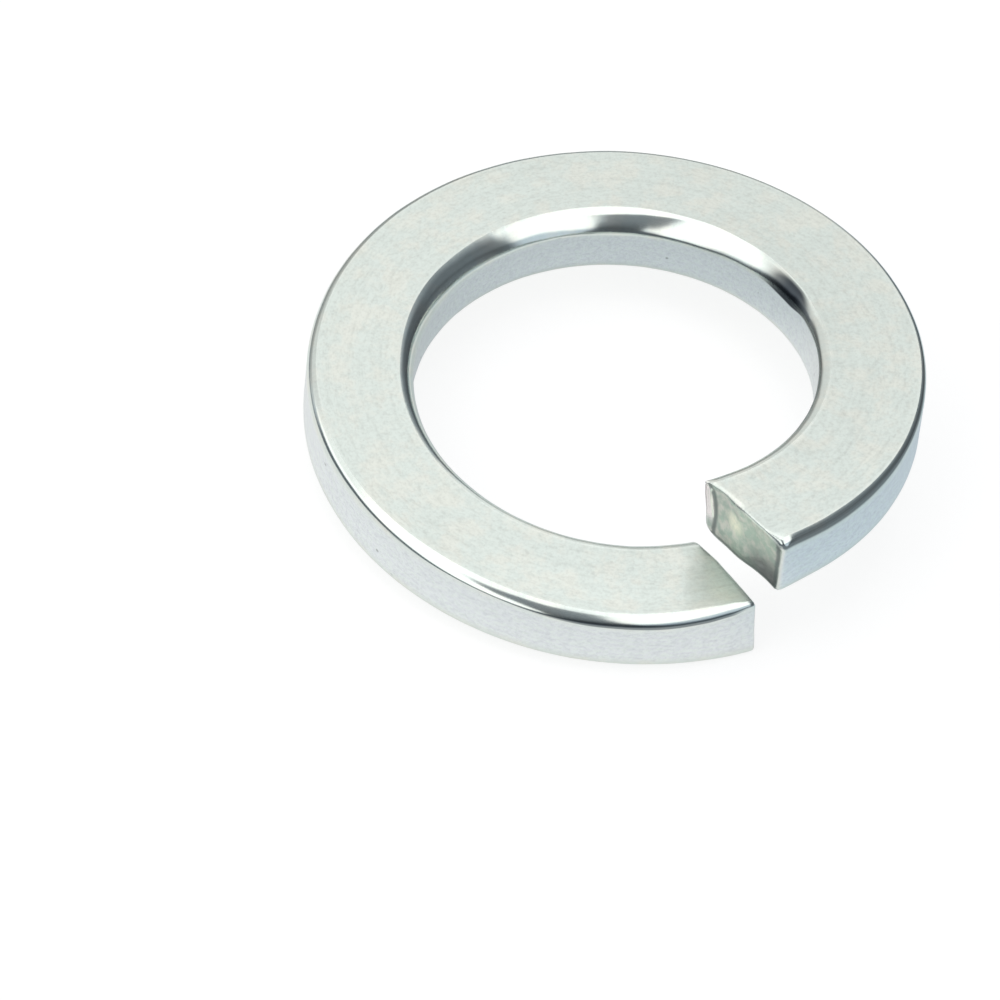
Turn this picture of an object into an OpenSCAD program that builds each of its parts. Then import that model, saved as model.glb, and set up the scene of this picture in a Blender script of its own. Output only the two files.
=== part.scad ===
// Spring lock washer: one turn of keystone wire, coiled left-handed and sheared at a slant.
// The bore's axis is Z, and the split faces -Y. The origin is on the axis, level with the
// lowest point of the low end. The coil climbs clockwise, as seen from above.

/* [Ring] */
// Diameter of the bore, which takes the screw
bore_d = 16.2; // [14:0.1:18]
// Outside diameter
outside_d = 24.9; // [22:0.1:30]
// Height that the coil climbs in one full turn
rise = 3.24; // [0.5:0.02:6]

/* [Wire section] */
// Thickness of the wire at the bore
thick_bore = 2.92; // [2.4:0.01:3.6]
// Thickness of the wire at the outside
thick_outside = 2.79; // [2.3:0.01:3.5]
// Radius of the two rolled corners at the bore
round_bore = 0.63; // [0.25:0.01:0.9]
// Radius of the two corners at the outside
round_outside = 0.3; // [0.25:0.01:0.8]

/* [Split] */
// Width of the gap at the outside
gap_outside = 0.76; // [0.2:0.01:2]
// Width of the gap at the bore
gap_bore = 0.16; // [0.05:0.01:2]
// Angle of the cut's middle line from the radius, in degrees
cut_lean = 8; // [0:0.5:15]
// Angle of both sheared faces from upright, in degrees
face_tilt = 5; // [0:0.5:8]
// Width of the worn edge round each sheared face
edge_break = 0.12; // [0.05:0.01:0.2]

/* [Smoothness] */
// Steps of the wire round the turn
turn_steps = 120; // [60:12:144]
// Steps round each corner of the wire
corner_steps = 5; // [3:1:8]

/* [Hidden] */
$fn = 180;
bore_r = bore_d / 2;
outside_r = outside_d / 2;
band = outside_r - bore_r;
taper = atan((thick_bore - thick_outside) / 2 / band);
flare = atan((gap_outside - gap_bore) / band);
least_trim = 0.015;
// The wire is swept this much too wide at both walls, for the two cylinders to trim
trim = outside_r * (1 - cos(180 / turn_steps)) + least_trim;
// Height above and below the origin that clears the whole coil
clear_z = 2 * (rise + thick_bore);

// Half of the wire's thickness at a radius
function half_thick(radius) =
    (thick_bore + (thick_outside - thick_bore) * (radius - bore_r) / band) / 2;

// One corner of the section, as points [radius, height] about a centre
function corner(centre_r, round_r, side, from, to) =
    let (centre_z = half_thick(centre_r) - round_r / cos(taper))
    [for (i = [0 : corner_steps])
        let (a = from + (to - from) * i / corner_steps)
        [centre_r + round_r * cos(a), side * (centre_z + round_r * sin(a))]];

// Top half of the section from the bore to the outside, or the same below, mirrored
function half_section(side) = concat(
    corner(bore_r - trim + round_bore, round_bore, side, 180, 90 - taper),
    corner(outside_r + trim - round_outside, round_outside, side, 90 - taper, 0));

function backwards(list) = [for (i = [len(list) - 1 : -1 : 0]) list[i]];

section = concat(half_section(1), backwards(half_section(-1)));
points_each = len(section);
middle_r = (bore_r + outside_r) / 2;

// The section drawn in towards its middle by the worn edge
worn_section = [for (p = section)
    let (reach = [band / 2, half_thick(p.x)])
    [middle_r + (p.x - middle_r) * (1 - edge_break / reach.x),
     p.y * (1 - edge_break / reach.y)]];

// Angle round the ring of a sheared face, at a point of the section.
// side is 1 for the low end and -1 for the high end, and inset moves it into the wire.
function face_angle(p, side, inset) =
    let (lean = cut_lean - side * flare / 2,
         offset = side * gap_outside / 2 + p.y * tan(face_tilt),
         distance = outside_r * sin(lean) + offset * cos(lean) + side * inset)
    asin(distance / p.x) - lean + (side > 0 ? 0 : 360);

// Angle of a point of the section at a share of the way from the low end to the high end
function turn_angle(p, share) =
    let (first = face_angle(p, 1, edge_break), last = face_angle(p, -1, edge_break))
    first + (last - first) * share;

function climb(angle) = rise * angle / 360;

lowest = min([for (p = section) p.y + climb(face_angle(p, 1, edge_break))]);

// The point of the section, set at its angle on the coil
function on_coil(p, angle) =
    [-p.x * sin(angle), -p.x * cos(angle), p.y + climb(angle) - lowest];

last_ring = turn_steps + 2;

coil_points = concat(
    [for (p = worn_section) on_coil(p, face_angle(p, 1, 0))],
    [for (i = [0 : turn_steps], p = section) on_coil(p, turn_angle(p, i / turn_steps))],
    [for (p = worn_section) on_coil(p, face_angle(p, -1, 0))]);

coil_faces = concat(
    [[for (j = [points_each - 1 : -1 : 0]) j]],
    [for (i = [0 : last_ring - 1], j = [0 : points_each - 1])
        let (a = i * points_each + j, b = i * points_each + (j + 1) % points_each)
        each [[a, b + points_each, a + points_each], [a, b, b + points_each]]],
    [[for (j = [0 : points_each - 1]) last_ring * points_each + j]]);

// The turn of wire, still a little too wide at the bore and at the outside
module swept_wire() {
    polyhedron(points = coil_points, faces = coil_faces, convexity = 4);
}

module lock_washer() {
    color("#D9DDD8")
    difference() {
        intersection() {
            swept_wire();
            translate([0, 0, -clear_z]) cylinder(h = 2 * clear_z, r = outside_r);
        }
        translate([0, 0, -clear_z]) cylinder(h = 2 * clear_z, r = bore_r);
    }
}

lock_washer();
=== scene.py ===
"""A spring lock washer: keystone wire, cut slantwise, coiled one turn, with a bright zinc finish.

The straight wire is modelled first, in millimetres, lying along X with its bore side
towards -Y. It is cut to length, given its worn edges and its marks, and then bent round Z.
"""

import math

import bmesh
import bpy
from bpy.props import FloatProperty, FloatVectorProperty, PointerProperty
from mathutils import Matrix, Quaternion, Vector


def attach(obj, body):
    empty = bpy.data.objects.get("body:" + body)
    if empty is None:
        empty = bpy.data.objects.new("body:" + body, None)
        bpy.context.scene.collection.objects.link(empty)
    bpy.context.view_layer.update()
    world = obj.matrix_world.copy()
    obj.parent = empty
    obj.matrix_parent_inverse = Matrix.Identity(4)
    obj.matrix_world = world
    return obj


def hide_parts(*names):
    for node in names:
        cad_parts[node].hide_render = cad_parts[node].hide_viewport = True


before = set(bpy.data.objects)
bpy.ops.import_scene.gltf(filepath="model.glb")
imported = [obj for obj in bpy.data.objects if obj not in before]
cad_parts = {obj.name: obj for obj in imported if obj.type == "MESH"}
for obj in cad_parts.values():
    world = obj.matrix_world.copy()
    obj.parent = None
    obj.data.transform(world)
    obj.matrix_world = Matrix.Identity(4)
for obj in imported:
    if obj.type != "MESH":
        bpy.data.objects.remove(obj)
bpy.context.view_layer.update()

bl_info = {
    "name": "Spring Lock Washer",
    "version": (1, 0, 0),
    "blender": (4, 5, 0),
    "location": "3D View > Sidebar > Lock Washer",
    "description": "Models a spring lock washer, its zinc finish and a plain studio round it",
    "category": "Mesh",
}

MM = 0.001
WASHER = "lock_washer_body"
CAD_NODE = "lock_washer"
WIRE_PLACE = "wire_place"
WIRE_ZONE = "wire_zone"
SHEARED_POINTS = "sheared_faces"

# Place along the wire of the edge of the painted dark reflection at the low end, and place
# across, height and radius of the spot on the high end's face that has a painted highlight and
# more relief, in millimetres.
LOW_END_REFLECTION_EDGE = -30.0
SPOT = (-0.39, 0.20, 0.60)

# Colours of the zinc's dull grain, of its pits and its painted shade and dark reflections,
# and of the sheared steel with its painted highlight and painted shade.
DULL_ZINC = (0.42, 0.44, 0.40, 1)
DULL_AND_SHADED_WALL = (0.50, 0.55, 0.57, 1)
PIT_COLOUR = (0.16, 0.18, 0.18, 1)
BORE_REFLECTION_COLOUR = (0.05, 0.06, 0.07, 1)
OUTER_REFLECTION_COLOUR = (0.13, 0.16, 0.18, 1)
LOW_END_REFLECTION_COLOUR = (0.32, 0.37, 0.30, 1)
TORN_STEEL = (0.78, 0.77, 0.72, 1)
HIGHLIGHT_STEEL = (0.98, 0.96, 0.82, 1)
SHADED_STEEL = (0.30, 0.30, 0.31, 1)
BURNISHED_STEEL = (0.98, 0.93, 0.92, 1)
SHADE_LINE_STEEL = (0.22, 0.25, 0.25, 1)

# Strength of the tent where the bright corners mirror it and where the flats do, its lowest
# strength, the tint of its dark parts, and what the camera and the metal see of the floor.
TENT_BRIGHT = 1.32
TENT_PLAIN = 0.99
TENT_DARKEST = 0.10
DARK_TINT = (0.76, 0.86, 0.98, 1)
WHITE = (1, 1, 1, 1)
BLACK = (0, 0, 0, 1)
# The floor's painted pool of light: painted shade in the bore and on the right, painted dark
# where unlit, and the painted glow that the metal mirrors.
FLOOR_IN_BORE = (0.72, 0.76, 0.78, 1)
FLOOR_ON_RIGHT = (0.73, 0.82, 0.88, 1)
FLOOR_UNLIT = (0.20, 0.23, 0.26, 1)
FLOOR_SEEN = (0.32, 0.32, 0.32, 1)
FLOOR_TOP_UP = 0.79
MIRRORED_PAPER = 0.4
MIRRORED_GLOW = 0.52

# Steps round the drawn corners and the rims, and cuts across the flats and along the wire.
BORE_CORNER_STEPS = 12
OUTSIDE_CORNER_STEPS = 8
RIM_STEPS = 3
FACE_CUTS = 24
BORE_WALL_CUTS = 9
OUTSIDE_WALL_CUTS = 15
COARSE_CUTS = 10
FINE_CUTS = 42
END_GRID_SPAN = 36
ARC_PARTS = 8

# How far the widening of a rim is felt, in millimetres, and over what length it fades.
RIM_REACH = 1.1
RIM_HOLD = 0.15
RIM_FADE = 0.45

# Slopes in degrees at which the shares of a worn corner's length are given.
SOFT = 34
STEEP = 58
UPRIGHT = 75

# Turn in degrees from the low end, reach of the worn corner in from the wall in
# millimetres, the slope in degrees at which it starts from the top face, and the shares of
# its length at which it has turned to SOFT and to STEEP.
BORE_EDGE = (
    (0, 0.60, 4, 0.22, 0.4), (120, 0.62, 8, 0.22, 0.5), (157, 0.80, 16, 0.34, 0.62),
    (180, 0.86, 18, 0.40, 0.72), (192, 0.86, 16, 0.36, 0.80), (207, 0.86, 16, 0.28, 0.68),
    (233, 0.80, 26, 0.14, 0.78), (248, 0.70, 24, 0.15, 0.76), (268, 0.58, 17, 0.17, 0.66),
    (280, 0.50, 9, 0.34, 0.72), (294, 0.45, 2, 0.56, 0.80),
    (315, 0.42, 2, 0.56, 0.80), (345, 0.36, 4, 0.50, 0.78), (360, 0.36, 4, 0.50, 0.70),
)
OUTSIDE_EDGE = (
    (0, 0.10, 4, 0.3, 0.5), (3.5, 0.20, 20, 0.3, 0.6), (7, 0.33, 26, 0.3, 0.64),
    (12, 0.40, 26, 0.34, 0.66), (20, 0.43, 26, 0.34, 0.66), (32, 0.42, 22, 0.42, 0.70),
    (44, 0.44, 22, 0.46, 0.84), (55, 0.43, 22, 0.56, 0.88), (90, 0.36, 26, 0.3, 0.6),
    (180, 0.29, 16, 0.3, 0.5), (290, 0.20, 6, 0.3, 0.5), (318, 0.25, 6, 0.3, 0.5),
    (345, 0.33, 6, 0.3, 0.5), (360, 0.33, 6, 0.3, 0.5),
)

# End, distance from its cut, place across from 0 at the bore wall to 1 at the outer wall, top,
# push along the wire, push upwards, reach along the wire, reach across.
END_SHAPES = (
    ("low", 0.0, 0.0, True, 0.22, -0.03, 1.3, 1.8),
    ("low", 0.0, 1.0, True, 0.05, 0.20, 2.2, 2.6),
    ("low", 6.0, 1.0, True, 0.00, -0.17, 3.6, 2.6),
    ("low", 0.0, 1.0, False, 0.00, -0.09, 1.5, 1.6),
    ("high", 0.0, 0.0, True, 0.20, -0.06, 0.7, 1.2),
    ("high", 0.0, 0.95, True, -0.08, -0.11, 0.34, 0.75),
    ("high", 0.0, 0.0, False, 0.00, -0.27, 1.2, 1.8),
    ("high", 0.0, 0.45, False, 0.18, -0.08, 0.8, 2.0),
    ("high", 0.0, 1.0, False, 0.08, -0.17, 0.8, 1.8),
)

# Turn in degrees, whether in the bore wall, height above the middle and depth in millimetres.
PITS = (
    (14.2, False, 0.14, 0.05), (42.2, False, -0.73, 0.04), (33.0, False, 0.05, 0.02),
    (151.0, False, -0.42, 0.015), (60.0, True, 0.20, 0.02),
)
PIT_RADIUS = 0.13

# Name, grain and depth in millimetres, and whether only the sheared faces have the relief.
RELIEFS = (
    ("tear", 0.60, 0.18, True),
    ("torn_grain", 0.20, 0.12, True),
    ("rolling", 2.2, 0.03, False),
)


class WasherSize(bpy.types.PropertyGroup):
    """Sizes of the washer, as on the solid model."""

    bore_diameter: FloatProperty(
        name="Bore", description="Diameter of the bore", default=16.2 * MM, unit="LENGTH")
    outside_diameter: FloatProperty(
        name="Outside", description="Outside diameter", default=24.9 * MM, unit="LENGTH")
    rise: FloatProperty(
        name="Rise", description="Climb of the coil in one full turn", default=3.24 * MM,
        unit="LENGTH")
    thick_bore: FloatProperty(
        name="Thickness at bore", description="Thickness of the wire at the bore",
        default=2.92 * MM, unit="LENGTH")
    thick_outside: FloatProperty(
        name="Thickness at outside", description="Thickness of the wire at the outside",
        default=2.79 * MM, unit="LENGTH")
    round_bore: FloatProperty(
        name="Bore corners", description="Radius of the two corners at the bore",
        default=0.63 * MM, unit="LENGTH")
    round_outside: FloatProperty(
        name="Outside corners", description="Radius of the two corners at the outside",
        default=0.30 * MM, unit="LENGTH")
    gap_bore: FloatProperty(
        name="Gap at bore", description="Width of the split at the bore", default=0.16 * MM,
        unit="LENGTH")
    gap_outside: FloatProperty(
        name="Gap at outside", description="Width of the split at the outside",
        default=0.76 * MM, unit="LENGTH")
    cut_lean: FloatProperty(
        name="Cut lean", description="Angle of the cut's middle line from the radius",
        default=math.radians(8), subtype="ANGLE")
    face_tilt: FloatProperty(
        name="Face tilt", description="Angle of the sheared faces from upright",
        default=math.radians(5), subtype="ANGLE")
    edge_break: FloatProperty(
        name="Edge break", description="Width of the worn edge round each sheared face",
        default=0.12 * MM, unit="LENGTH")


class WasherFinish(bpy.types.PropertyGroup):
    """Colours and sheen of the zinc finish."""

    zinc: FloatVectorProperty(
        name="Zinc", description="Colour of the zinc coat", default=(0.82, 0.89, 0.84),
        subtype="COLOR")
    warm_zinc: FloatVectorProperty(
        name="Warm zinc", description="Colour of the coat where it is faintly warm",
        default=(0.87, 0.90, 0.83), subtype="COLOR")
    wall_zinc: FloatVectorProperty(
        name="Wall zinc", description="Colour of the coat on the drawn walls",
        default=(0.93, 0.99, 0.97), subtype="COLOR")
    cool_zinc: FloatVectorProperty(
        name="Cool zinc", description="Colour of the walls where they are faintly violet",
        default=(0.92, 0.96, 0.98), subtype="COLOR")
    sheared_steel: FloatVectorProperty(
        name="Sheared steel", description="Colour of the rough sheared faces",
        default=(0.49, 0.58, 0.52), subtype="COLOR")
    face_roughness: FloatProperty(
        name="Face roughness", description="Roughness of the flat faces", default=0.34,
        min=0.05, max=1)
    edge_roughness: FloatProperty(
        name="Edge roughness", description="Roughness of the burnished corners",
        default=0.15, min=0.05, max=1)


class StudioSetup(bpy.types.PropertyGroup):
    """Camera and light."""

    azimuth: FloatProperty(
        name="Azimuth", description="Side that the camera looks from", subtype="ANGLE",
        default=math.radians(-35.0))
    elevation: FloatProperty(
        name="Elevation", description="Height of the camera above the floor",
        subtype="ANGLE", default=math.radians(45.8))
    roll: FloatProperty(
        name="Roll", description="Turn of the camera about its line of sight",
        subtype="ANGLE", default=math.radians(7.42))
    distance: FloatProperty(
        name="Distance", description="Distance of the camera from the wire's lower mid-plane",
        default=364.8 * MM, unit="LENGTH")
    lens: FloatProperty(
        name="Lens", description="Focal length in millimetres", default=324.0, unit="CAMERA")


def wire_sizes(size):
    """The sizes in millimetres, with the ones that follow from them."""
    names = ("bore_diameter", "outside_diameter", "rise", "thick_bore", "thick_outside",
             "round_bore", "round_outside", "gap_bore", "gap_outside", "edge_break")
    mm = {name: getattr(size, name) / MM for name in names}
    mm["bore_r"] = mm["bore_diameter"] / 2
    mm["outside_r"] = mm["outside_diameter"] / 2
    mm["band"] = mm["outside_r"] - mm["bore_r"]
    mm["mean_r"] = (mm["outside_r"] + mm["bore_r"]) / 2
    mm["length"] = 2 * math.pi * mm["mean_r"]
    mm["flare"] = math.atan((mm["gap_outside"] - mm["gap_bore"]) / mm["band"])
    mm["lean"] = size.cut_lean
    mm["tilt"] = size.face_tilt
    return mm


def choose(kind, test):
    """Select only the vertices, edges or faces that pass a test, in edit mode."""
    bpy.ops.mesh.select_mode(type=kind)
    bpy.ops.mesh.select_all(action="DESELECT")
    shape = bmesh.from_edit_mesh(bpy.context.object.data)
    for item in {"VERT": shape.verts, "EDGE": shape.edges, "FACE": shape.faces}[kind]:
        if test(item):
            item.select_set(True)
    shape.select_flush_mode()
    bmesh.update_edit_mesh(bpy.context.object.data)


def middle(edge):
    """The point halfway along an edge."""
    return (edge.verts[0].co + edge.verts[1].co) / 2


def span(edge):
    """The vector from one end of an edge to the other."""
    return edge.verts[1].co - edge.verts[0].co


def ease(share):
    """A smooth step from 0 to 1."""
    share = min(max(share, 0), 1)
    return share * share * (3 - 2 * share)


def between_rows(table, turn):
    """The values at a turn, eased from row to row of a table."""
    for (start, *low), (end, *high) in zip(table, table[1:]):
        if turn < end:
            share = ease((turn - start) / (end - start))
            return [a + (b - a) * share for a, b in zip(low, high)]
    return table[-1][1:]


def straight_wire(mm):
    """A straight length of keystone wire with its four corners rounded."""
    bpy.ops.object.select_all(action="DESELECT")
    bpy.ops.mesh.primitive_cube_add(size=1)
    wire = bpy.context.object
    wire.name = wire.data.name = WASHER
    bpy.ops.object.mode_set(mode="EDIT")
    bpy.ops.transform.resize(value=(mm["length"], mm["band"], 1), center_override=(0, 0, 0))
    for bore_side, thick in ((True, mm["thick_bore"]), (False, mm["thick_outside"])):
        choose("VERT", lambda v: (v.co.y < 0) == bore_side)
        bpy.ops.transform.resize(value=(1, 1, thick), center_override=(0, 0, 0))
    for bore_side, radius, segments in (
            (True, mm["round_bore"], BORE_CORNER_STEPS),
            (False, mm["round_outside"], OUTSIDE_CORNER_STEPS)):
        choose("EDGE", lambda e: abs(span(e).x) > 1 and (
            abs(middle(e).y) > mm["band"] / 2 - 0.01 and (middle(e).y < 0) == bore_side))
        bpy.ops.mesh.bevel(offset=radius, segments=segments, affect="EDGES")
    return wire


def lay_strips(mm):
    """Cut the four flats of the wire into narrow strips along its length."""
    choose("FACE", lambda f: len(f.verts) > 4)
    bpy.ops.mesh.delete(type="ONLY_FACE")
    half = mm["length"] / 2
    across_face = mm["band"] - mm["round_bore"] - mm["round_outside"] - 0.1
    strips = (
        (lambda e: abs(span(e).y) > across_face, FACE_CUTS),
        (lambda e: abs(span(e).z) > 1 and middle(e).y < 0, BORE_WALL_CUTS),
        (lambda e: abs(span(e).z) > 1 and middle(e).y > 0, OUTSIDE_WALL_CUTS),
    )
    for test, cuts in strips:
        choose("EDGE", lambda e: abs(span(e).x) < 0.01 and abs(middle(e).x) > half - 0.01
               and test(e))
        bpy.ops.mesh.subdivide(number_cuts=cuts, smoothness=0)
    for low_end in (True, False):
        choose("EDGE", lambda e: e.is_boundary and (middle(e).x < 0) == low_end)
        bpy.ops.mesh.edge_face_add()


def cut_angle(mm, radius, height, low_end):
    """Angle round the coil at which a shear cuts through a point of the section."""
    side = 1 if low_end else -1
    lean = mm["lean"] - side * mm["flare"] / 2
    offset = side * mm["gap_outside"] / 2 + height * math.tan(mm["tilt"])
    distance = mm["outside_r"] * math.sin(lean) + offset * math.cos(lean)
    return math.asin(distance / radius) - lean + (0 if low_end else 2 * math.pi)


def shear_ends(mm):
    """Put both ends of the wire on their slanted cut planes."""
    shape = bmesh.from_edit_mesh(bpy.context.object.data)
    for v in shape.verts:
        angle = cut_angle(mm, mm["mean_r"] + v.co.y, v.co.z, v.co.x < 0)
        v.co.x = (angle - math.pi) * mm["mean_r"]
    bmesh.update_edit_mesh(bpy.context.object.data)


def close_end(mm, low_end):
    """Fill one open end of the wire with a grid whose corners are on the wire's corners."""
    choose("VERT", lambda v: v.is_boundary and (v.co.x < 0) == low_end)
    shape = bmesh.from_edit_mesh(bpy.context.object.data)
    side = -1 if low_end else 1
    corner = max((v for v in shape.verts if v.select), key=lambda v: side * v.co.y + v.co.z)
    shape.select_history.clear()
    shape.select_history.add(corner)
    bpy.ops.mesh.fill_grid(span=END_GRID_SPAN)


def half_thick(mm, across):
    """Half the wire's thickness at a distance from the bore wall."""
    share = across / mm["band"]
    return (mm["thick_bore"] + (mm["thick_outside"] - mm["thick_bore"]) * share) / 2


def stretch(value, drawn, worn, loose):
    """Move what lies within a drawn length to a worn length, and let go beyond."""
    if value < drawn:
        return value * worn / drawn
    if value < loose:
        return worn + (value - drawn) * (loose - worn) / (loose - drawn)
    return value


def worn_arc(reach, crease, soft, turned):
    """Points of a worn corner from the top face to the wall: distance from each."""
    slopes = ((0, crease), (soft, SOFT), (turned, STEEP),
              (turned + (1 - turned) / 2, UPRIGHT), (1, 90))
    steps = []
    for (start, low), (end, high) in zip(slopes, slopes[1:]):
        for part in range(ARC_PARTS):
            slope = math.radians(low + (high - low) * (part + 0.5) / ARC_PARTS)
            steps.append(((end - start) / ARC_PARTS, slope))
    scale = reach / sum(length * math.cos(slope) for length, slope in steps)
    across, depth, points = reach, 0, [(reach, 0)]
    for length, slope in steps:
        across -= scale * length * math.cos(slope)
        depth += scale * length * math.sin(slope)
        points.append((across, depth))
    return points


def wear_corner(across, depth, drawn, arc):
    """Where a worn corner puts a point, by its distances from a wall and the top face."""
    reach, deep = arc[0][0], arc[-1][1]
    if across < drawn and depth < drawn:
        off_wall = 1 - across / drawn
        off_face = 1 - depth / drawn
        out = math.hypot(off_wall, off_face)
        share = math.atan2(off_wall, off_face) / (math.pi / 2) * (len(arc) - 1)
        step = min(int(share), len(arc) - 2)
        before, after = arc[step], arc[step + 1]
        arc_across, arc_depth = (a + (b - a) * (share - step) for a, b in zip(before, after))
        return reach + (arc_across - reach) * out, deep + (arc_depth - deep) * out
    hold = 1.6 * drawn
    loose = 3.5 * drawn
    move_across = stretch(across, drawn, reach, loose) - across
    move_depth = stretch(depth, drawn, deep, loose) - depth
    return (across + move_across * (1 - ease((depth - hold) / (loose - hold))),
            depth + move_depth * (1 - ease((across - hold) / (loose - hold))))


def wear_edges(mm, wire):
    """Wear the two top corners along the whole wire."""
    arcs = {}
    for v in wire.data.vertices:
        turn = round(360 * (v.co.x / mm["length"] + 0.5), 2)
        if turn not in arcs:
            arcs[turn] = (worn_arc(*between_rows(BORE_EDGE, turn)),
                          worn_arc(*between_rows(OUTSIDE_EDGE, turn)))
        bore_arc, outside_arc = arcs[turn]
        across = v.co.y + mm["band"] / 2
        depth = half_thick(mm, across) - v.co.z
        across, depth = wear_corner(across, depth, mm["round_bore"], bore_arc)
        outer, depth = wear_corner(mm["band"] - across, depth, mm["round_outside"], outside_arc)
        across = mm["band"] - outer
        v.co.y = across - mm["band"] / 2
        v.co.z = half_thick(mm, across) - depth


def shape_ends(mm, wire):
    """Push the corners of both ends to where the shear left them."""
    for v in wire.data.vertices:
        height = v.co.z
        across = v.co.y + mm["band"] / 2
        for end, off_cut, centre, top, along, up, reach_x, reach_y in END_SHAPES:
            cut = cut_angle(mm, mm["mean_r"] + v.co.y, height, end == "low") - math.pi
            gone = (abs(v.co.x - cut * mm["mean_r"]) - off_cut) / reach_x
            if abs(gone) > 3:
                continue
            side = abs(across - centre * mm["band"])
            share = math.exp(-gone ** 2) * (1 - ease(side / reach_y))
            share *= ease(0.5 + height / mm["thick_bore"] * (1 if top else -1))
            v.co.x += along * share
            v.co.z += up * share


def rim_width(mm, bore, outer, top, low):
    """How many times wider than an even edge break the rim of a sheared face is."""
    if low:
        return 1.0
    if min(bore, outer) < top:
        upper = 1 - ease((top - 1.5) / 0.8)
        return 1.6 + (0.4 + 1.4 * upper) * (1 - ease((bore - 0.3) / 0.4))
    if top < 0.9:
        sliver = ease((bore - 0.3) / 0.2) * (1 - ease((bore - 1.9) / 0.5))
        return 0.6 + 1.6 * sliver + 0.8 * (1 - ease(math.hypot(outer, top) / 0.8))
    return 1.1


def widen_rims(mm):
    """Widen the worn rim of the sheared faces where the real one is wide."""
    shape = bmesh.from_edit_mesh(bpy.context.object.data)
    for v in shape.verts:
        low = v.co.x < 0
        angle = cut_angle(mm, mm["mean_r"] + v.co.y, v.co.z, low) - math.pi
        along = abs(v.co.x - angle * mm["mean_r"])
        if along > RIM_REACH:
            continue
        bore = max(v.co.y + mm["band"] / 2, 0)
        outer = max(mm["band"] - bore, 0)
        half = half_thick(mm, bore)
        top = max(half - v.co.z, 0)
        side, face = min(bore, outer), min(top, 2 * half - top)
        rounding = mm["round_bore"] if bore < outer else mm["round_outside"]
        to_wall, to_face = rounding - side, rounding - face
        if to_wall > 0 and to_face > 0:
            reach = math.hypot(to_wall, to_face)
            inside, outward = rounding - reach, (to_wall / reach, to_face / reach)
        elif side < face:
            inside, outward = side, (1, 0)
        else:
            inside, outward = face, (0, 1)
        width = rim_width(mm, bore, outer, top, low)
        drawn, worn = mm["edge_break"], mm["edge_break"] * width
        in_by = stretch(inside, drawn, worn, RIM_REACH) - inside
        in_by *= 1 - ease((along - RIM_HOLD) / RIM_FADE)
        back_by = stretch(along, drawn, worn, RIM_REACH) - along
        back_by *= 1 - ease((inside - RIM_HOLD) / RIM_FADE)
        v.co.x += back_by * (1 if low else -1)
        v.co.y += in_by * outward[0] * (1 if bore < outer else -1)
        v.co.z += in_by * outward[1] * (1 if top > half else -1)
    bmesh.update_edit_mesh(bpy.context.object.data)


def dent_pits(mm, wire):
    """Press small pits into the walls."""
    for turn, bore_side, height, depth in PITS:
        centre = Vector(((turn / 360 - 0.5) * mm["length"],
                         mm["band"] / 2 * (-1 if bore_side else 1), height))
        for v in wire.data.vertices:
            gone = (v.co - centre).length / PIT_RADIUS
            if gone < 3:
                v.co.y += depth * math.exp(-gone ** 2) * (1 if bore_side else -1)


def name_places(mm, wire):
    """Note on each point its place along the straight wire, and the kind of surface there."""
    for name in (WIRE_PLACE, WIRE_ZONE):
        wire.data.attributes.new(name, "FLOAT_VECTOR", "POINT")
    place = wire.data.attributes[WIRE_PLACE]
    zone = wire.data.attributes[WIRE_ZONE]
    ends = set()
    for face in wire.data.polygons:
        if abs(face.normal.x) > 0.9:
            ends.update(face.vertices)
    for v in wire.data.vertices:
        place.data[v.index].vector = v.co
        off_wall = min(v.co.y + mm["band"] / 2 - mm["round_bore"],
                       mm["band"] / 2 - mm["round_outside"] - v.co.y)
        flat = ease(0.5 + off_wall / 0.16)
        wall = ease((1.25 - abs(v.co.z)) / 0.5) * (1 - ease(min(
            v.co.y + mm["band"] / 2, mm["band"] / 2 - v.co.y) / 0.1))
        rim = min(mm["band"] / 2 - abs(v.co.y),
                  half_thick(mm, v.co.y + mm["band"] / 2) - abs(v.co.z))
        torn = ease((rim - 0.08) / 0.12) if v.index in ends else 0
        zone.data[v.index].vector = (flat, wall, torn)
    return ends


def tear_share(mm, place):
    """How strongly a point of a sheared face is torn: least at the rim, most at the spot."""
    x, y, z = place
    rim = min(mm["band"] / 2 - abs(y), half_thick(mm, y + mm["band"] / 2) - abs(z))
    spot = math.exp(-((y - SPOT[0]) ** 2 + (z - SPOT[1]) ** 2) / SPOT[2] ** 2) * (x > 0)
    return 0.05 + (0.55 + 0.4 * spot) * ease(rim / 0.5)


def roughen(wire, name, grain, depth, only_sheared):
    """Displace the surface by a procedural texture, up and down by half a depth."""
    texture = bpy.data.textures.new(name, "CLOUDS")
    texture.noise_scale = grain
    relief = wire.modifiers.new(name, "DISPLACE")
    relief.texture = texture
    relief.texture_coords = "LOCAL"
    relief.strength = depth
    relief.mid_level = 0.5
    if only_sheared:
        relief.vertex_group = SHEARED_POINTS
        if relief.vertex_group != SHEARED_POINTS:
            raise RuntimeError("The points of the sheared faces are not marked.")
    bpy.ops.object.modifier_apply(modifier=relief.name)


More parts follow.
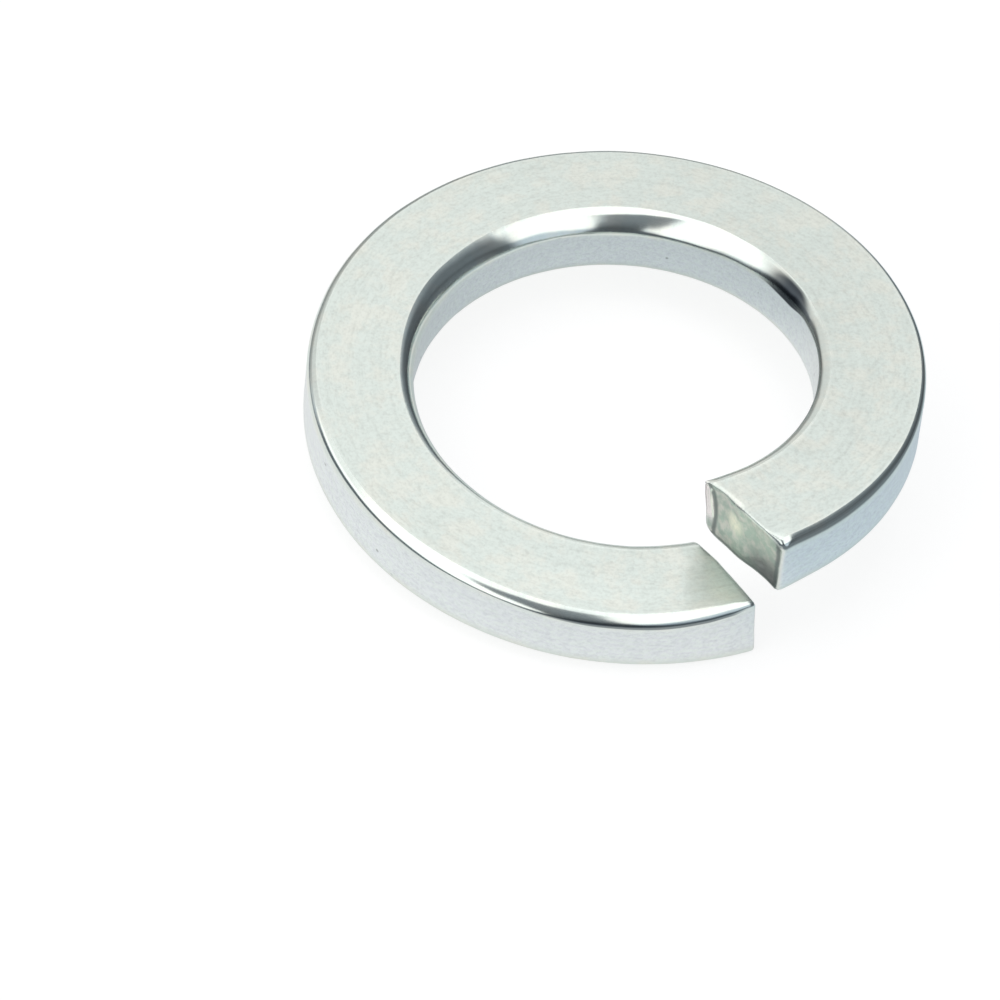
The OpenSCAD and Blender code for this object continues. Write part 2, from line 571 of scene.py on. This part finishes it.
def make_washer(size):
    """Model the whole washer and leave it at its place in metres."""
    mm = wire_sizes(size)
    wire = straight_wire(mm)
    lay_strips(mm)
    shear_ends(mm)
    choose("FACE", lambda f: len(f.verts) > 8)
    bpy.ops.mesh.region_to_loop()
    bpy.ops.mesh.bevel(offset=mm["edge_break"], segments=RIM_STEPS, affect="EDGES")
    choose("EDGE", lambda e: abs(span(e).x) > 30)
    bpy.ops.mesh.subdivide(number_cuts=COARSE_CUTS, smoothness=0)
    choose("EDGE", lambda e: abs(span(e).x) > 3)
    bpy.ops.mesh.subdivide(number_cuts=FINE_CUTS, smoothness=0)
    choose("FACE", lambda f: len(f.verts) > 8)
    bpy.ops.mesh.delete(type="ONLY_FACE")
    close_end(mm, True)
    close_end(mm, False)
    widen_rims(mm)
    crease_y = (mm["round_bore"] - mm["band"] / 2, mm["band"] / 2 - mm["round_outside"])
    choose("EDGE", lambda e: abs(span(e).x) > 0.05 and middle(e).z > 0 and min(
        abs(middle(e).y - y) for y in crease_y) < 0.004)
    bpy.ops.mesh.mark_sharp()
    bpy.ops.object.mode_set(mode="OBJECT")
    ends = name_places(mm, wire)
    wear_edges(mm, wire)
    shape_ends(mm, wire)
    dent_pits(mm, wire)
    sheared = wire.vertex_groups.new(name=SHEARED_POINTS)
    for index in ends:
        sheared.add([index], tear_share(mm, wire.data.vertices[index].co), "REPLACE")
    for name, grain, depth, only_sheared in RELIEFS:
        roughen(wire, name, grain, depth, only_sheared)
    wire.vertex_groups.clear()
    for v in wire.data.vertices:
        v.co.z += mm["rise"] * (v.co.x / mm["length"] + 0.5)
    reach = [v.co.x for v in wire.data.vertices]
    bend = wire.modifiers.new("Coil", "SIMPLE_DEFORM")
    bend.deform_method = "BEND"
    bend.deform_axis = "Z"
    bend.angle = -(max(reach) - min(reach)) / mm["mean_r"]
    bpy.ops.object.modifier_apply(modifier=bend.name)
    wire.data.transform(Matrix.Translation((0, mm["mean_r"], 0)))
    lowest = min(v.co.z for v in wire.data.vertices)
    wire.data.transform(Matrix.Translation((0, 0, -lowest)))
    wire.data.transform(Matrix.Scale(MM, 4))
    bpy.ops.object.shade_smooth()
    return wire


class Number:
    """A number in a node tree. Sums on it add Math nodes."""

    def __init__(self, shader, socket):
        self.shader = shader
        self.socket = socket

    def sum_of(self, operation, *values):
        node = self.shader.node("Math", {"operation": operation}, dict(enumerate(values)))
        return Number(self.shader, node.outputs[0])

    def __add__(self, other):
        return self.sum_of("ADD", self, other)

    __radd__ = __add__

    def __sub__(self, other):
        return self.sum_of("SUBTRACT", self, other)

    def __rsub__(self, other):
        return self.sum_of("SUBTRACT", other, self)

    def __mul__(self, other):
        return self.sum_of("MULTIPLY", self, other)

    __rmul__ = __mul__

    def __truediv__(self, other):
        return self.sum_of("DIVIDE", self, other)

    def __rtruediv__(self, other):
        return self.sum_of("DIVIDE", other, self)

    def __pow__(self, other):
        return self.sum_of("POWER", self, other)

    def largest(self, other):
        return self.sum_of("MAXIMUM", self, other)

    def size(self):
        return self.sum_of("ABSOLUTE", self)

    def smallest(self, other):
        return self.sum_of("MINIMUM", self, other)

    def step(self, low, high):
        """0 below low, 1 above high, and smooth between; high may be the smaller one."""
        node = self.shader.node(
            "MapRange", {"interpolation_type": "SMOOTHSTEP"},
            {"Value": self, "From Min": low, "From Max": high})
        return Number(self.shader, node.outputs["Result"])


class Shader:
    """The nodes of a material or of the world."""

    def __init__(self, owner):
        owner.use_nodes = True
        self.tree = owner.node_tree
        self.tree.nodes.clear()

    def node(self, kind, settings=None, values=None):
        """Add a node: its type, its settings, and the values or links of its sockets."""
        node = self.tree.nodes.new("ShaderNode" + kind)
        for name, value in (settings or {}).items():
            setattr(node, name, value)
        for name, value in (values or {}).items():
            socket = node.inputs[name]
            value = value.socket if isinstance(value, Number) else value
            if isinstance(value, bpy.types.NodeSocket):
                self.tree.links.new(value, socket)
            else:
                socket.default_value = value
        return node

    def number(self, kind, settings=None, values=None, output=0):
        return Number(self, self.node(kind, settings, values).outputs[output])

    def split(self, vector):
        """The three numbers of a vector."""
        node = self.node("SeparateXYZ", None, {"Vector": vector})
        return [Number(self, socket) for socket in node.outputs]

    def scaled(self, vector, scale):
        return self.node("Mapping", None, {"Vector": vector, "Scale": scale}).outputs["Vector"]

    def noise(self, vector, scale, detail=2.0, roughness=0.5):
        return self.number("TexNoise", None, {
            "Vector": vector, "Scale": scale, "Detail": detail, "Roughness": roughness})

    def mix(self, share, first, second):
        """A colour between two colours."""
        node = self.node("Mix", {"data_type": "RGBA"}, {0: share, 6: first, 7: second})
        return node.outputs[2]

    def along(self, vector, direction):
        """How far a vector reaches in a direction."""
        return self.number("VectorMath", {"operation": "DOT_PRODUCT"},
                           {0: vector, 1: direction}, "Value")


class WirePattern:
    """Where a point lies on the straight wire, its kind of surface, and the grains there."""

    def __init__(self, shader):
        place = shader.node("Attribute", {"attribute_name": WIRE_PLACE}).outputs["Vector"]
        zone = shader.node("Attribute", {"attribute_name": WIRE_ZONE}).outputs["Vector"]
        self.along, self.across, self.height = shader.split(place)
        self.flat, self.wall, self.sheared = shader.split(zone)
        self.grain = shader.noise(place, 8.0, 2.0, 0.6)
        self.speckle = shader.noise(shader.scaled(place, (0.6, 1, 1)), 5.0, 3.0, 0.65)
        self.cloud = shader.noise(place, 0.9, 3.0, 0.6)
        self.drawn = shader.noise(shader.scaled(place, (0.22, 5.0, 5.0)), 1.0, 3.0, 0.6)
        self.torn = shader.noise(place, 2.4, 3.0, 0.6)
        cells = shader.number("TexVoronoi", None, {"Vector": place, "Scale": 0.8})
        self.pits = cells.step(0.09, 0.05)
        self.high_end = self.along.step(28, 30)
        # The bright strip by the bore is widest at mid height.
        self.off_strip = self.across - 0.24 * (self.height - 0.15).size().step(1.15, 0.1)
        self.burnished = (self.high_end * self.off_strip.step(-1.62, -1.74)
                          * self.height.step(-0.75, -0.25))


def flat_tint(shader, wire, finish):
    """Cloudy zinc with a fine dull grain, strongest on the flat faces."""
    tint = shader.mix(wire.cloud.step(0.40, 0.66), (*finish.zinc, 1), (*finish.warm_zinc, 1))
    dull = (0.16 * wire.grain.step(0.40, 0.70) + 0.14 * wire.speckle.step(0.45, 0.70)
            + 0.08 * wire.drawn.step(0.45, 0.70)) * (0.35 + 0.65 * wire.flat)
    return shader.mix(dull, tint, DULL_ZINC)


def wall_tint(shader, wire, finish):
    """Paler zinc of the drawn walls with a dull grain, and painted shade darker towards their
    top.
    """
    tint = shader.mix(wire.speckle.step(0.36, 0.60), (*finish.wall_zinc, 1),
                      (*finish.cool_zinc, 1))
    # The height term is painted shade: the walls darken towards their top.
    dull = (0.18 * wire.grain.step(0.40, 0.70) + 0.14 * wire.speckle.step(0.48, 0.72)
            + 0.06 * wire.drawn.step(0.45, 0.70)
            + 0.12 * wire.height.step(-1.1, 0.9) * wire.wall)
    return shader.mix(dull, tint, DULL_AND_SHADED_WALL)


def sheared_tint(shader, wire, finish):
    """Torn steel, on the high end with a painted highlight on a spot, a painted shade, a bright
    strip and painted dark shade lines.
    """
    steel = shader.mix(wire.torn.step(0.36, 0.68), (*finish.sheared_steel, 1), TORN_STEEL)
    # Painted highlight on the spot, mottled by the grain.
    off_spot = ((wire.across - SPOT[0]) ** 2 + (wire.height - SPOT[1]) ** 2) ** 0.5
    spot = wire.high_end * off_spot.step(SPOT[2], 0.1) * (0.3 + 1.1 * wire.grain)
    steel = shader.mix(spot, steel, HIGHLIGHT_STEEL)
    shade = wire.high_end * wire.across.step(-0.3, 1.3) * wire.height.step(0.7, -0.9)
    steel = shader.mix(0.97 * shade, steel, SHADED_STEEL)
    steel = shader.mix(wire.burnished, steel, BURNISHED_STEEL)
    # Painted shade: dark lines along the outer and bottom edges and beside the bright strip.
    shade_lines = (wire.across.step(1.78, 1.90) + wire.height.step(-1.08, -1.22)
             + wire.off_strip.step(-1.46, -1.58) * wire.off_strip.step(-1.78, -1.66))
    return shader.mix(0.85 * wire.high_end * shade_lines.smallest(1), steel, SHADE_LINE_STEEL)


def painted_bore_reflection(wire):
    """A painted dark reflection in the bore's top corner: a line which swells to a streak at one
    place.
    """
    swell = (wire.along - 15.8).size().step(2.3, 0.3)
    off_line = (wire.height - 1.22 + 0.06 * swell).size() - 0.16 - 0.13 * swell
    line = (wire.across.step(-1.58, -1.66) * off_line.step(0.05, -0.05)
            * wire.along.step(13.0, 14.6) * wire.along.step(31, 27))
    return (0.75 + 0.24 * swell) * line


def painted_outer_reflection(wire):
    """A painted dark reflection: a line at the foot of the outer top corner, near the low end."""
    line = (wire.across.step(1.98, 2.06) * (wire.height - 1.20).size().step(0.13, 0.08)
            * wire.along.step(-31.8, -30.8) * wire.along.step(-23.5, -26.0))
    return 0.78 * line


def painted_low_end_reflection(wire):
    """A painted dark reflection of the high end on the flats at the low end, streaked along the
    wire.
    """
    edge = wire.along - 0.27 * wire.across
    low_reflection = edge.step(LOW_END_REFLECTION_EDGE + 0.3, LOW_END_REFLECTION_EDGE - 0.3)
    return 0.21 * low_reflection * wire.flat * (0.3 + 1.4 * wire.drawn)


def zinc_material(finish):
    """Bright zinc over drawn wire, with rough sheared ends."""
    material = bpy.data.materials.new("bright_zinc")
    shader = Shader(material)
    wire = WirePattern(shader)
    tint = shader.mix(0.95 * wire.wall, flat_tint(shader, wire, finish),
                      wall_tint(shader, wire, finish))
    tint = shader.mix(0.5 * wire.wall * wire.pits, tint, PIT_COLOUR)
    # Painted dark reflection in the bore's top corner.
    tint = shader.mix(painted_bore_reflection(wire), tint, BORE_REFLECTION_COLOUR)
    # Painted dark reflection under the outer top corner.
    tint = shader.mix(painted_outer_reflection(wire), tint, OUTER_REFLECTION_COLOUR)
    # Painted dark reflection of the high end at the low end.
    tint = shader.mix(painted_low_end_reflection(wire), tint, LOW_END_REFLECTION_COLOUR)
    colour = shader.mix(wire.sheared, tint, sheared_tint(shader, wire, finish))

    sheen_step = finish.face_roughness - finish.edge_roughness
    smooth = (finish.edge_roughness + sheen_step * wire.flat + 0.07 * wire.wall
              + 0.10 * wire.flat * (wire.speckle - 0.5) + 0.05 * (wire.drawn - 0.5))
    matt = (0.26 + 0.3 * wire.torn) * (1 - 0.5 * wire.burnished)
    roughness = smooth * (1 - wire.sheared) + matt * wire.sheared

    relief = (0.35 * wire.flat * wire.grain + 0.4 * wire.flat * wire.speckle
              + 0.35 * (1 - wire.flat) * wire.drawn + 2.2 * wire.sheared * wire.grain)
    bump = shader.node("Bump", None, {"Height": relief, "Strength": 0.10,
                                      "Distance": 0.02 * MM})
    surface = shader.node("BsdfPrincipled", None, {
        "Base Color": colour, "Metallic": 1.0, "Roughness": roughness,
        "Normal": bump.outputs["Normal"]})
    shader.node("OutputMaterial", None, {"Surface": surface.outputs["BSDF"]})
    return material


class WASHER_OT_coil(bpy.types.Operator):
    """Model the washer and give it its zinc finish"""

    bl_idname = "washer.coil"
    bl_label = "Coil the washer"

    def execute(self, context):
        washer = make_washer(context.scene.washer_size)
        washer.data.materials.clear()
        washer.data.materials.append(zinc_material(context.scene.washer_finish))
        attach(washer, "root")
        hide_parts(CAD_NODE)
        return {"FINISHED"}


def place_camera(studio):
    """Put the camera at the photograph's angle and frame."""
    azimuth, elevation = studio.azimuth, studio.elevation
    back = Vector((math.sin(azimuth) * math.cos(elevation),
                   -math.cos(azimuth) * math.cos(elevation), math.sin(elevation)))
    view = (-back).to_track_quat("-Z", "Y") @ Quaternion((0, 0, 1), studio.roll)
    centre = Vector((0, 0, 1.41)) * MM
    aim = centre + view @ Vector((-4.449, -3.194, 0)) * MM
    place = centre + back * studio.distance
    turn = back.rotation_difference(place - aim)
    data = bpy.data.cameras.new("studio_camera")
    data.lens = studio.lens
    camera = bpy.data.objects.new("studio_camera", data)
    bpy.context.scene.collection.objects.link(camera)
    camera.location = place
    camera.rotation_mode = "QUATERNION"
    camera.rotation_quaternion = turn @ view
    bpy.context.scene.camera = camera


def level_axes(azimuth):
    """Level directions towards a camera at an azimuth, and to its right."""
    toward = (math.sin(azimuth), -math.cos(azimuth), 0)
    right = (math.cos(azimuth), math.sin(azimuth), 0)
    return toward, right


def light_room(studio):
    """Light the washer with a pale tent that the camera sees white.

    The tent is brightest where the worn corners mirror it. A dark card over the camera and a
    dark foot below it give the corners their streaks, the right side is dim, and the tent's
    far side is darker low down.
    """
    world = bpy.data.worlds.new("studio")
    bpy.context.scene.world = world
    shader = Shader(world)
    forward, right = level_axes(studio.azimuth)
    ray = shader.node("TexCoord").outputs["Generated"]
    near = shader.along(ray, forward)
    side = shader.along(ray, right)
    up = shader.split(ray)[2]

    def turned(angle):
        """Positive where what the camera sees mirrored has a normal turned past an angle."""
        tilt = math.radians(angle)
        level = math.cos(studio.elevation) * math.sin(tilt)
        return math.cos(tilt) * side - math.sin(tilt) * near - level

    overhead = math.sin(studio.elevation) * up - math.cos(studio.elevation) * near
    plain = turned(31).step(-0.02, 0.05).largest(turned(-46).step(0.02, -0.06)).largest(
        overhead.step(0.90, 0.96))
    dim_right = 0.80 * side.step(0.19, 0.33) + 0.20 * side.step(0.30, 0.60)
    lift = 3.0 * (side - 0.02).largest(0).smallest(0.11) + 0.4 * side.step(-0.78, -0.90)
    far_band = 0.26 * up.step(0.70, 0.62) * near.step(-0.3, -0.5)
    plain_light = (TENT_PLAIN + lift - 1.14 * dim_right) \
        * (1 - far_band - 0.13 * up.step(0.74, 0.82))

    card_edge = (side / (0.45 - 0.36 * up)).largest(-1 * side / (0.40 * up - 0.03).largest(0.02))
    card = card_edge.step(1.10, 0.90) * near.step(0.28, 0.36) \
        * (0.80 + 0.12 * up.step(0.95, 0.3))
    foot_rim = up - 0.14 * side.step(0.35, 0.55) + 0.12 * side.step(-0.08, -0.30)
    foot = foot_rim.step(0.50, 0.34) * near.step(-0.6, -0.2) * side.step(0.97, 0.80)
    skirting = up.step(0.36, 0.24) * near.step(-0.35, -0.60)

    light = TENT_BRIGHT * (1 - plain) + plain_light * plain
    light = light * (1 - card) * (1 - (0.9 - 0.5 * dim_right) * foot) * (1 - 0.50 * skirting)
    dark = card.largest(foot).largest(dim_right * plain)
    room = shader.node("Background", None, {
        "Color": shader.mix(dark, WHITE, DARK_TINT), "Strength": light.largest(TENT_DARKEST)})
    white = shader.node("Background", None, {"Color": WHITE, "Strength": 1.0})
    rays = shader.node("LightPath")
    seen = shader.node("MixShader", None, {
        0: rays.outputs["Is Camera Ray"], 1: room.outputs[0], 2: white.outputs[0]})
    shader.node("OutputWorld", None, {"Surface": seen.outputs[0]})


def painted_floor_pool(shader, studio):
    """The floor's colour, a painted pool of light: pale near the washer, painted dimmer in the
    bore and to the right, and painted dark where it stands for unlit floor.
    """
    forward = level_axes(studio.azimuth + 0.6)[0]
    right = level_axes(studio.azimuth)[1]
    where = shader.node("TexCoord").outputs["Object"]
    away = shader.number("VectorMath", {"operation": "LENGTH"}, {0: where}, "Value")
    toward = shader.along(where, forward)
    rightward = shader.along(where, right)
    # Painted pool of light: dark beyond it, dimmer in the bore and towards the right.
    unlit = (away.step(17 * MM, 26 * MM) * toward.step(-4 * MM, 6 * MM)).largest(
        away.step(30 * MM, 45 * MM))
    inside = away.step(10.5 * MM, 7.5 * MM)
    dim_inside = inside * rightward.step(6.5 * MM, 1 * MM) * toward.step(4 * MM, -1 * MM)
    on_right = rightward.step(6 * MM, 13 * MM) * (1 - inside)
    lit = shader.mix(dim_inside, WHITE, FLOOR_IN_BORE)
    return shader.mix(unlit, shader.mix(on_right, lit, FLOOR_ON_RIGHT), FLOOR_UNLIT)


def lay_floor(studio):
    """A pale floor, topped up to white for the camera, so that only its shadows are grey; the
    metal mirrors its painted pool of light with a painted glow.
    """
    bpy.ops.object.select_all(action="DESELECT")
    bpy.ops.mesh.primitive_plane_add(size=3.0)
    floor = bpy.context.object
    floor.name = "floor"
    material = bpy.data.materials.new("pale_floor")
    shader = Shader(material)
    rays = shader.node("LightPath")
    colour = painted_floor_pool(shader, studio)
    paper = shader.node("BsdfDiffuse", None, {"Color": colour})
    dim_paper = shader.node("BsdfDiffuse", None, {
        "Color": shader.mix(MIRRORED_PAPER, BLACK, colour)})
    # Painted glow: the metal mirrors the painted pool as if the floor shone.
    glow = shader.node("Emission", None, {"Color": colour, "Strength": MIRRORED_GLOW})
    mirrored = shader.node("AddShader", None, {0: dim_paper.outputs[0], 1: glow.outputs[0]})
    unseen = shader.node("MixShader", None, {
        0: rays.outputs["Is Glossy Ray"], 1: paper.outputs[0], 2: mirrored.outputs[0]})
    half_paper = shader.node("BsdfDiffuse", None, {"Color": FLOOR_SEEN})
    top_up = shader.node("Emission", None, {"Color": WHITE, "Strength": FLOOR_TOP_UP})
    topped = shader.node("AddShader", None, {0: half_paper.outputs[0], 1: top_up.outputs[0]})
    seen = shader.node("MixShader", None, {
        0: rays.outputs["Is Camera Ray"], 1: unseen.outputs[0], 2: topped.outputs[0]})
    shader.node("OutputMaterial", None, {"Surface": seen.outputs[0]})
    floor.data.materials.append(material)


class WASHER_OT_studio(bpy.types.Operator):
    """Set up the floor, the light and the camera"""

    bl_idname = "washer.studio"
    bl_label = "Set up the studio"

    def execute(self, context):
        studio = context.scene.washer_studio
        lay_floor(studio)
        light_room(studio)
        place_camera(studio)
        context.scene.view_settings.view_transform = "Standard"
        return {"FINISHED"}


class WASHER_PT_panel(bpy.types.Panel):
    """Lists the washer's settings and steps"""

    bl_idname = "WASHER_PT_panel"
    bl_label = "Lock Washer"
    bl_space_type = "VIEW_3D"
    bl_region_type = "UI"
    bl_category = "Lock Washer"

    def draw(self, context):
        layout = self.layout
        for group in (context.scene.washer_size, context.scene.washer_finish,
                      context.scene.washer_studio):
            for name in group.__annotations__:
                layout.prop(group, name)
        layout.operator(WASHER_OT_coil.bl_idname)
        layout.operator(WASHER_OT_studio.bl_idname)


CLASSES = (WasherSize, WasherFinish, StudioSetup, WASHER_OT_coil, WASHER_OT_studio,
           WASHER_PT_panel)
POINTERS = {"washer_size": WasherSize, "washer_finish": WasherFinish,
            "washer_studio": StudioSetup}


def register():
    for item in CLASSES:
        bpy.utils.register_class(item)
    for name, group in POINTERS.items():
        setattr(bpy.types.Scene, name, PointerProperty(type=group))


def unregister():
    for name in POINTERS:
        delattr(bpy.types.Scene, name)
    for item in reversed(CLASSES):
        bpy.utils.unregister_class(item)


def main():
    register()
    bpy.ops.washer.coil()
    bpy.ops.washer.studio()


if __name__ == "__main__":
    main()
